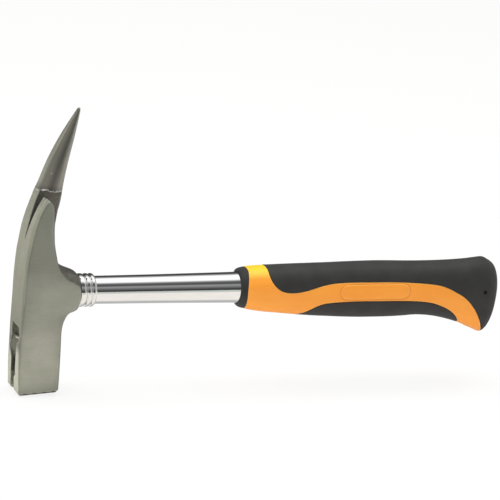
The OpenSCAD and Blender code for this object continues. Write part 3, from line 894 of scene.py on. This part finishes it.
def build_core(faces, surface, under, line, seam_highlight):
    """Hard core: `surface` where it shows, `under` below the pads, with a bore for the tube.

    Faces are (face, shows) pairs.
    """
    radius = 10.16
    points, all_faces, dark, light = [], [], [], []
    placed = {}

    def vert(i, deep):
        if (i, deep) not in placed:
            placed[i, deep] = len(points)
            points.append(tuple(under[i] if deep else surface[i]))
            dark.append(0.0 if deep else line[i])
            light.append(0.0 if deep else seam_highlight[i])
        return placed[i, deep]

    edges = {}
    for face, shows in faces:
        all_faces.append(tuple(vert(i, not shows) for i in face))
        for edge in edges_of(face):
            edges[edge] = not shows
    for (a, b), deep in edges.items():
        if not deep and edges.get((b, a)):
            all_faces.append((vert(b, False), vert(a, False), vert(a, True), vert(b, True)))
    rim = rim_of(edges)
    columns = {}
    for edge in rim:
        for i in edge:
            if i not in columns:
                start = vert(i, False)
                columns[i] = [start]
                for x in (COLLAR_END + 0.02, 180, 240, TUBE_END + 0.3):
                    columns[i].append(len(points))
                    points.append(bore_point(points[start], x, radius))
    cap = len(points)
    points.append((TUBE_END + 0.3, 0, 0))
    for a, b in rim:
        left, right = columns[a], columns[b]
        for i in range(4):
            all_faces.append((right[i], left[i], left[i + 1], right[i + 1]))
        all_faces.append((right[4], left[4], cap))
    core = new_mesh("grip_core_shell", points, all_faces)
    # the line mark carries painted shade in the oblong's groove
    mark(core, "line", np.pad(dark, (0, len(points) - len(dark))))
    # painted highlight along the seams and the oblong's rim
    mark(core, "seam_highlight", np.pad(light, (0, len(points) - len(light))))
    return core


def build_grip():
    skin = Skin()
    for region, fine, quick in CUTS:
        for level in fine:
            skin.cut(region, level)
    points, normal = skin.points, grip_normal(skin.row, skin.angle)
    normal[skin.pole] = [1, 0, 0]
    top, low, collar, panel, dimple = skin.regions.values()

    def raised(height):
        return points + normal * height[:, None]

    # rubber: rounded edge, standing a hair proud of the plastic, with the pit sunk in
    rubber = 0.10 - 0.75 * roll(np.maximum(top, low), 0.6)
    rubber = rubber - 0.9 * unit((dimple + 0.35) / 0.9) ** 1.5
    # plastic: eased at the seams; the blank oblong has a fine line round a raised field
    plastic = -roll(np.minimum(np.abs(top), np.abs(low)), 0.42) - roll(np.abs(collar), 0.25)
    on_side = (np.abs(points[:, 1]) > 8) & (np.abs(panel) < 30)
    # the fine line is a sunk groove, and its darker colour in the orange is painted shade
    line = np.where(on_side, np.exp(-((panel + 0.2) / 0.34) ** 2), 0)
    plastic = plastic + np.where(on_side, 0.16 * unit(panel / 0.5) - 0.30 * line, 0)
    seam = np.minimum(np.minimum(np.abs(top), np.abs(low)), np.abs(collar))
    # painted highlight along the seams and on the oblong's raised rim
    seam_highlight = np.maximum(np.exp(-((seam - 0.22) / 0.22) ** 2),
                      np.where(on_side, 0.7 * np.exp(-((panel - 0.35) / 0.25) ** 2), 0))

    groups = dict(collar=[], top=[], low=[])
    core_faces = []
    fields = np.stack([top, low, collar], 1)
    for face in skin.faces:
        in_top, in_low, in_collar = fields[list(face)].mean(axis=0) > 0
        kind = "collar" if in_collar else "top" if in_top else "low" if in_low else None
        if kind:
            groups[kind].append(face)
        if kind != "collar":
            core_faces.append((face, kind is None))

    rubber_skin, inner = raised(rubber), skin.inset_points(WALL)
    pieces = {}
    pieces["top"], used = build_pad("grip_top_pad", groups["top"], rubber_skin, inner)
    # painted shade: the pit is darkened nearly black
    painted_pit_shade = unit((dimple[used] + 0.25) / 0.6)
    mark(pieces["top"], "pit_shade", np.concatenate([painted_pit_shade, np.zeros(len(used))]))
    pieces["low"], _ = build_pad("grip_lower_pad", groups["low"], rubber_skin, inner)
    pieces["collar"] = build_collar(groups["collar"], raised(-roll(np.abs(collar), 0.35)))
    pieces["core"] = build_core(core_faces, raised(plastic), skin.inset_points(WALL + 0.03),
                                line, seam_highlight)
    return pieces


# ---------------------------------------------------------------- magnet
def build_magnet():
    """Block with eased edges, a little smaller than its seat."""
    bm = bmesh.new()
    bmesh.ops.create_cube(bm, size=1.0)
    for vert in bm.verts:
        vert.co = Vector([(low + high) / 2 + c * (high - low - 0.06)
                          for c, low, high in zip(vert.co, MAGNET_LOW, MAGNET_HIGH)]) * MM
    bmesh.ops.bevel(bm, geom=list(bm.edges), offset=0.35 * MM, segments=3, profile=0.6,
                    affect="EDGES")
    mesh = bpy.data.meshes.new("magnet_block")
    bm.to_mesh(mesh)
    bm.free()
    mesh.polygons.foreach_set("use_smooth", [True] * len(mesh.polygons))
    return add_object("magnet_block", mesh)


head = build_head()
tube = build_tube()
grip = build_grip()
magnet = build_magnet()
for obj in [head, tube, magnet] + list(grip.values()):
    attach(obj, "root")
for obj, node, slot in ((head, "head", "forged_steel"),
                        (tube, "handle_tube", "chromed_tube"),
                        (magnet, "nail_magnet", "magnet"),
                        (grip["core"], "grip_core", "orange_plastic"),
                        (grip["top"], "top_pad", "black_rubber"),
                        (grip["low"], "lower_pad", "black_rubber"),
                        (grip["collar"], "front_collar", "black_rubber")):
    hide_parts(node)


# ---------------------------------------------------------------- shader helpers
class Shader:
    """Short calls for making the nodes of one tree."""

    def __init__(self, tree):
        self.tree = tree
        tree.nodes.clear()

    def node(self, kind, **settings):
        node = self.tree.nodes.new("ShaderNode" + kind)
        for name, value in settings.items():
            setattr(node, name, value)
        return node

    def put(self, socket, value):
        """Link or set an input; None leaves it alone."""
        if isinstance(value, bpy.types.NodeSocket):
            self.tree.links.new(value, socket)
        elif value is not None:
            if socket.type == "RGBA":
                value = (*value, 1)
            socket.default_value = value

    def stretch(self, vector, factors):
        node = self.node("VectorMath", operation="MULTIPLY")
        self.put(node.inputs[0], vector)
        node.inputs[1].default_value = factors
        return node.outputs[0]

    def split(self, vector):
        node = self.node("SeparateXYZ")
        self.put(node.inputs[0], vector)
        return node.outputs

    def math(self, operation, a, b=None):
        node = self.node("Math", operation=operation)
        self.put(node.inputs[0], a)
        self.put(node.inputs[1], b)
        return node.outputs[0]

    def ramp(self, factor, stops):
        """Colour ramp; stops are (position, grey or colour)."""
        node = self.node("ValToRGB")
        elements = node.color_ramp.elements
        while len(elements) < len(stops):
            elements.new(0.5)
        for element, (position, colour) in zip(elements, stops):
            element.position = position
            element.color = (*colour, 1) if isinstance(colour, tuple) else (*[colour] * 3, 1)
        self.put(node.inputs[0], factor)
        return node.outputs[0]

    def remap(self, value, source, to=(0, 1)):
        node = self.node("MapRange")
        self.put(node.inputs[0], value)
        for i, number in enumerate((*source, *to), 1):
            node.inputs[i].default_value = number
        return node.outputs[0]

    def mix(self, factor, a, b, kind="MIX"):
        node = self.node("Mix", data_type="RGBA", blend_type=kind)
        for i, value in ((0, factor), (6, a), (7, b)):
            self.put(node.inputs[i], value)
        return node.outputs[2]

    def multiply(self, a, b):
        return self.mix(1.0, a, b, "MULTIPLY")

    def mix_shader(self, factor, a, b):
        node = self.node("MixShader")
        for socket, value in zip(node.inputs, (factor, a, b)):
            self.put(socket, value)
        return node.outputs[0]


class Material(Shader):
    """Material with a Principled shader; its textures run in object millimetres."""

    def __init__(self, name):
        self.material = bpy.data.materials.new(name)
        self.material.use_nodes = True
        super().__init__(self.material.node_tree)
        self.output = self.node("OutputMaterial")
        self.principled = self.node("BsdfPrincipled")
        self.put(self.output.inputs[0], self.principled.outputs[0])
        self.mm = self.stretch(self.node("TexCoord").outputs["Object"], (1000, 1000, 1000))

    def noise(self, scale=1.0, stretch=None, detail=3.0, rough=0.6, distortion=0.0):
        vector = self.stretch(self.mm, stretch) if stretch else self.mm
        node = self.node("TexNoise")
        for name, value in (("Vector", vector), ("Scale", scale), ("Detail", detail),
                            ("Roughness", rough), ("Distortion", distortion)):
            self.put(node.inputs[name], value)
        return node.outputs["Fac"]

    def attr(self, name):
        return self.node("Attribute", attribute_name=name).outputs["Fac"]

    def bump(self, height, strength, distance):
        """Bump normal; the distance is in metres."""
        node = self.node("Bump")
        for name, value in (("Strength", strength), ("Distance", distance), ("Height", height)):
            self.put(node.inputs[name], value)
        return node.outputs[0]

    def set(self, **inputs):
        for name, value in inputs.items():
            self.put(self.principled.inputs[name.replace("_", " ")], value)


# ---------------------------------------------------------------- materials
def steel_material():
    m = Material("ground_steel")
    ground, spike, deep, highlight = [m.attr(n) for n in ("ground", "spike", "deep", "highlight")]
    height = m.split(m.mm)["Z"]
    streak = m.noise(stretch=(0.09, 0.09, 3.4), detail=4.0, rough=0.65)
    fine = m.noise(stretch=(0.25, 0.25, 9.0))
    cloud = m.noise(scale=0.055, rough=0.55, distortion=0.4)
    grain = m.noise(scale=1.6)
    pits = m.noise(scale=0.5, detail=5.0, rough=0.7, distortion=0.6)
    edge = m.ramp(m.node("NewGeometry").outputs["Pointiness"], [(0.505, 0.0), (0.56, 1.0)])
    occlusion = m.node("AmbientOcclusion", samples=6)
    occlusion.inputs["Distance"].default_value = 0.009
    up = m.remap(height, (-65, 65))
    # ground steel: clouded, with light streaks and fine dark scratches
    steel = m.mix(m.remap(cloud, (0.35, 0.65)), (0.505, 0.513, 0.436), (0.585, 0.593, 0.513))
    steel = m.mix(m.remap(streak, (0.35, 0.68), to=(0.0, 0.32)), steel, (0.68, 0.685, 0.62))
    steel = m.mix(m.remap(fine, (0.3, 0.62), to=(0.22, 0.0)), steel, (0.33, 0.333, 0.285))
    # painted light and shade along the cheeks and the outer face
    steel = m.multiply(steel, m.attr("light_gain"))
    steel = m.mix(m.math("MULTIPLY", m.attr("outer"), 0.06), steel, (0.5, 0.5, 0.2))
    # painted shade along the edge between the outer face and the cheeks
    steel = m.mix(m.attr("edge_shade"), steel, (0.02, 0.02, 0.014))
    # dark forged skin
    forged = m.mix(m.remap(pits, (0.3, 0.7)), (0.172, 0.164, 0.142), (0.275, 0.263, 0.232))
    forged = m.multiply(forged, m.remap(height, (25, 42), to=(0.80, 1.0)))
    # spike: painted reflection bands and shade, darker at the root
    shaded_spike = m.multiply(m.mix(m.remap(cloud, (0.3, 0.7)), (0.93, 0.90, 0.79), (1.09, 1.06, 0.94)),
                       m.attr("spike_shade"))
    colour = m.mix(ground, forged, steel)
    colour = m.mix(spike, colour, shaded_spike)
    colour = m.mix(m.math("MULTIPLY", edge, 0.3), colour, (0.66, 0.66, 0.60))
    # painted shade in the hollows from ambient occlusion, less of it in the nail holder
    hollow_shade = m.math("MULTIPLY", m.math("SUBTRACT", 1.0, occlusion.outputs["AO"]),
                    m.math("SUBTRACT", 0.42, m.math("MULTIPLY", deep, 0.34)))
    colour = m.mix(hollow_shade, colour, (0.05, 0.047, 0.04))
    # nail holder: painted light and shade by height, darkest beside the magnet
    inside = m.ramp(up, [(0.0, 0.74), (0.076, 0.70), (0.084, 0.24), (0.146, 0.24), (0.152, 0.42),
                         (0.20, 0.36), (0.26, 0.33), (0.285, 0.62), (0.34, 0.62)])
    inside = m.multiply(m.mix(m.remap(grain, (0.3, 0.7)), (0.84, 0.84, 0.70),
                              (0.99, 0.985, 0.85)), inside)
    colour = m.mix(m.math("MULTIPLY", deep, 0.9), colour, inside)
    # painted shade on the chamfer under the striking face
    colour = m.mix(m.math("MULTIPLY", m.attr("under"), 0.85), colour, (0.03, 0.027, 0.02))
    # painted highlights on the burr, rib, prong tip corner and striking face rim
    colour = m.mix(m.math("MULTIPLY", highlight, 0.8), colour, (0.80, 0.80, 0.74))
    rough = m.remap(ground, (0, 1), to=(0.52, 0.40))
    rough = m.math("ADD", rough, m.remap(streak, (0.3, 0.7), to=(0.06, -0.06)))
    for smooth in (spike, highlight):
        rough = m.math("SUBTRACT", rough, m.math("MULTIPLY", smooth, 0.12))
    # streaks stand on ground steel, pits on forged
    relief = m.math("ADD", m.math("MULTIPLY", streak, m.math("MULTIPLY", ground, 0.8)),
                    m.math("MULTIPLY", pits,
                           m.math("SUBTRACT", 1.0, m.math("MAXIMUM", ground, spike))))
    relief = m.math("ADD", relief, m.math("MULTIPLY", grain, 0.15))
    normal = m.bump(relief, strength=0.35, distance=0.00006)
    m.set(Base_Color=colour, Metallic=0.86, Roughness=rough, Normal=normal)
    return m.material


def chrome_material():
    m = Material("bright_chrome")
    smear = m.noise(stretch=(0.05, 0.3, 0.3), detail=4.0, distortion=0.8)
    drawn = m.noise(stretch=(0.04, 2.2, 2.2))
    dust = m.noise(scale=3.5, detail=2.0)
    colour = m.mix(m.remap(smear, (0.35, 0.7)), (0.90, 0.905, 0.90), (0.84, 0.85, 0.85))
    rough = m.math("ADD", m.remap(smear, (0.35, 0.75), to=(0.045, 0.09)),
                   m.remap(dust, (0.62, 0.75), to=(0.0, 0.05)))
    m.set(Base_Color=colour, Metallic=1.0, Roughness=rough,
          Normal=m.bump(drawn, strength=0.10, distance=0.00002))
    return m.material


def orange_material():
    m = Material("orange_moulded")
    cloud = m.noise(scale=0.045, detail=2.0, rough=0.5)
    grain = m.noise(scale=4.2)
    flow = m.noise(stretch=(0.03, 0.3, 0.3), distortion=0.6)
    geometry = m.node("NewGeometry")
    facing_up = m.split(geometry.outputs["Normal"])["Z"]
    colour = m.mix(m.remap(cloud, (0.35, 0.65)), (0.955, 0.335, 0.038), (0.98, 0.362, 0.044))
    colour = m.mix(m.remap(flow, (0.4, 0.7), to=(0, 0.35)), colour, (0.99, 0.40, 0.055))
    # painted light: yellower where it faces up; painted highlights paler on edges and seams;
    # painted shade darker in the oblong's line
    colour = m.mix(m.remap(facing_up, (0.55, 0.95), to=(0, 0.85)), colour, (0.98, 0.62, 0.03))
    edge = m.ramp(geometry.outputs["Pointiness"], [(0.51, 0.0), (0.57, 1.0)])
    colour = m.mix(m.math("MULTIPLY", edge, 0.35), colour, (1.0, 0.55, 0.13))
    colour = m.mix(m.math("MULTIPLY", m.attr("seam_highlight"), 0.40), colour, (1.0, 0.56, 0.16))
    colour = m.mix(m.math("MULTIPLY", m.attr("line"), 0.45), colour, (0.55, 0.17, 0.02))
    m.set(Base_Color=colour, Roughness=m.remap(grain, (0.3, 0.7), to=(0.36, 0.46)),
          Normal=m.bump(grain, strength=0.25, distance=0.00004), Subsurface_Weight=0.06,
          Subsurface_Radius=(0.004, 0.002, 0.0006), Specular_IOR_Level=0.35)
    return m.material


def rubber_material():
    m = Material("black_soft_rubber")
    grain = m.noise(scale=5.5, detail=4.0, rough=0.65)
    cloud = m.noise(scale=0.07, rough=0.5)
    scuff = m.noise(stretch=(0.6, 1.2, 1.2), detail=5.0, rough=0.7, distortion=1.0)
    edge = m.ramp(m.node("NewGeometry").outputs["Pointiness"], [(0.51, 0.0), (0.58, 1.0)])
    colour = m.mix(m.remap(cloud, (0.35, 0.65)), (0.026, 0.026, 0.026), (0.033, 0.033, 0.032))
    colour = m.mix(m.remap(scuff, (0.62, 0.8), to=(0.0, 0.4)), colour, (0.055, 0.055, 0.054))
    colour = m.mix(m.math("MULTIPLY", edge, 0.3), colour, (0.075, 0.075, 0.073))
    # painted shade darkening the pit nearly black
    colour = m.mix(m.attr("pit_shade"), colour, (0.003, 0.003, 0.003))
    m.set(Base_Color=colour, Roughness=m.remap(grain, (0.3, 0.7), to=(0.56, 0.68)),
          Normal=m.bump(grain, strength=0.35, distance=0.00005), Specular_IOR_Level=0.32,
          Sheen_Weight=0.06)
    return m.material


def magnet_material():
    m = Material("dark_magnet")
    grain = m.noise(scale=2.5, detail=4.0, rough=0.65)
    colour = m.mix(m.remap(grain, (0.35, 0.7)), (0.018, 0.017, 0.015), (0.05, 0.048, 0.042))
    m.set(Base_Color=colour, Metallic=0.5, Roughness=m.remap(grain, (0.3, 0.7), to=(0.4, 0.6)),
          Normal=m.bump(grain, strength=0.3, distance=0.00005))
    return m.material


def plug_material(name, dark, light, metallic, rough):
    """Fine rings about the shaft axis."""
    m = Material(name)
    rings = m.noise(stretch=(5.0, 0.2, 0.2))
    cloud = m.noise(scale=0.2, rough=0.5)
    colour = m.mix(m.remap(cloud, (0.35, 0.65)), dark, light)
    m.set(Base_Color=colour, Metallic=metallic,
          Roughness=m.remap(rings, (0.3, 0.7), to=(rough - 0.06, rough + 0.06)),
          Normal=m.bump(rings, strength=0.3, distance=0.00004))
    return m.material


def give(obj, material):
    obj.data.materials.clear()
    obj.data.materials.append(material)


give(head, steel_material())
give(tube, chrome_material())
give(grip["core"], orange_material())
rubber = rubber_material()
for key in ("top", "low", "collar"):
    give(grip[key], rubber)
give(magnet, magnet_material())
give(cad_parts["expander_plug"],
     plug_material("turned_plug", dark=(0.42, 0.42, 0.43), light=(0.55, 0.55, 0.56),
                   metallic=1.0, rough=0.35))
give(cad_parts["tube_end_plug"],
     plug_material("moulded_plug", dark=(0.62, 0.62, 0.59), light=(0.72, 0.72, 0.69),
                   metallic=0.0, rough=0.5))


# ---------------------------------------------------------------- floor (sizes in metres)
def build_floor():
    size, shift_y, cells = 5.0, 1.2, 24
    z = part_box("head")[0][2] - 0.0011
    bm = bmesh.new()
    grid = [[bm.verts.new(((i / cells - 0.5) * size, (j / cells - 0.5) * size + shift_y, z))
             for j in range(cells + 1)] for i in range(cells + 1)]
    for i in range(cells):
        for j in range(cells):
            bm.faces.new((grid[i][j], grid[i + 1][j], grid[i + 1][j + 1], grid[i][j + 1]))
    mesh = bpy.data.meshes.new("floor")
    bm.to_mesh(mesh)
    bm.free()
    return add_object("floor", mesh)


def floor_material():
    """Nearly white to the camera and a pattern of cards to reflections."""
    m = Material("pale_floor")
    m.set(Base_Color=m.mix(m.noise(scale=0.004, detail=2.0, rough=0.5),
                           (0.90, 0.89, 0.87), (0.94, 0.93, 0.915)),
          Roughness=0.75, Specular_IOR_Level=0.1)
    rays = m.node("LightPath").outputs
    glow, cards = m.node("Emission"), m.node("Emission")
    m.put(glow.inputs[0], (1.0, 1.0, 1.0))
    place = m.split(m.mm)
    card = (0.97, 0.92, 0.865)
    stripes = m.ramp(m.remap(place["Y"], (-400, 200)),
                     [(0.0, (0.58, 0.62, 0.58)), (0.22, (0.62, 0.65, 0.61)), (0.36, card),
                      (0.645, card), (0.675, 0.50), (0.76, 0.56), (0.85, 0.80)])
    m.put(cards.inputs[0], m.mix(m.remap(place["X"], (15, 45)), (0.85, 0.83, 0.76), stripes))
    plain = m.principled.outputs[0]
    seen = m.mix_shader(0.84, plain, glow.outputs[0])
    shown = m.mix_shader(rays["Is Camera Ray"], plain, seen)
    shown = m.mix_shader(rays["Is Glossy Ray"], shown, cards.outputs[0])
    m.put(m.output.inputs[0], shown)
    return m.material


floor = build_floor()
give(floor, floor_material())

# ---------------------------------------------------------------- world
CREAM = (0.90, 0.86, 0.79)
# angle across the shaft in degrees (0 is -y, 90 is up, 180 is +y), brightness or colour
ROOM = [(-180, 0.75), (-120, 0.5), (-103, 0.5), (-97, 0.62), (-88, CREAM), (-24, CREAM),
        (-17, 0.5), (-12, 0.42), (-7, 0.12), (-3, 0.05), (6, 0.05), (12, 0.10), (20, 0.17),
        (28, 0.27), (36, 0.33), (42, 0.14), (48, 0.09), (54, 0.10), (60, 0.16), (66, 0.35),
        (74, 0.95), (84, 1.3), (108, 1.4), (118, 0.9), (126, 0.55), (134, 0.2), (142, 0.06),
        (165, 0.06), (175, 0.2), (180, 0.4)]


def build_world():
    world = bpy.data.worlds.new("studio")
    bpy.context.scene.world = world
    world.use_nodes = True
    w = Shader(world.node_tree)
    way = w.split(w.node("TexCoord").outputs["Generated"])
    angle = w.math("ARCTAN2", way["Z"], w.math("MULTIPLY", way["Y"], -1.0))
    room = w.ramp(w.remap(angle, (-math.pi, math.pi)),
                  [((degrees + 180) / 360, light) for degrees, light in ROOM])
    # towards either end of the shaft the room is plain and pale
    ends = w.remap(w.math("ABSOLUTE", way["X"]), (0.55, 0.85))
    room = w.mix(ends, room, (0.56, 0.555, 0.515))
    # the camera sees white
    room = w.mix(w.node("LightPath").outputs["Is Camera Ray"], room, (1.0, 1.0, 1.0))
    background = w.node("Background")
    w.put(background.inputs[0], room)
    background.inputs[1].default_value = 1.0
    w.put(w.node("OutputWorld").inputs[0], background.outputs[0])


# ---------------------------------------------------------------- lights (metres and watts)
def soft_light(name, place, target, size, power, colour):
    """Rectangular light that does not show in reflections."""
    light = bpy.data.lights.new(name, "AREA")
    light.shape = "RECTANGLE"
    light.size, light.size_y = size
    light.energy = power
    light.color = colour
    obj = add_object(name, light)
    obj.location = place
    obj.rotation_euler = (Vector(target) - Vector(place)).to_track_quat("-Z", "Y").to_euler()
    obj.visible_glossy = False


# ---------------------------------------------------------------- camera
def build_camera():
    """Long lens from the near side, a little above and towards the head."""
    bearing, dip, roll_angle = [math.radians(a) for a in (20.43, 15.75, 4.9)]
    # distance back from the origin, and offsets along the view's own axes
    back, to_right, to_up = 2348, 134.05515, 25.59007
    forward = Vector((math.sin(bearing) * math.cos(dip), math.cos(bearing) * math.cos(dip),
                      -math.sin(dip)))
    level = Vector((math.cos(bearing), -math.sin(bearing), 0))
    upright = level.cross(forward)
    right = level * math.cos(roll_angle) + upright * math.sin(roll_angle)
    up = -level * math.sin(roll_angle) + upright * math.cos(roll_angle)
    place = (right * to_right + up * to_up - forward * back) * MM
    data = bpy.data.cameras.new("view")
    data.sensor_width = 36
    data.lens = 270
    data.clip_end = 50
    camera = add_object("view", data)
    camera.matrix_world = Matrix([(right[i], up[i], -forward[i], place[i]) for i in range(3)]
                                 + [(0, 0, 0, 1)])
    return camera


build_world()
soft_light("top_soft", place=(0.10, 0.15, 1.3), target=(0.10, 0.0, 0.0), size=(1.8, 1.2),
           power=16, colour=(1, 1, 1))
soft_light("front_soft", place=(-0.5, -1.5, 0.9), target=(0.1, 0.0, 0.0), size=(1.2, 0.9),
           power=9, colour=(1, 0.995, 0.97))
scene = bpy.context.scene
scene.camera = build_camera()
scene.view_settings.view_transform = "Standard"
scene.view_settings.look = "None"
scene.view_settings.exposure = 0
scene.view_settings.gamma = 1

bpy.context.view_layer.update()
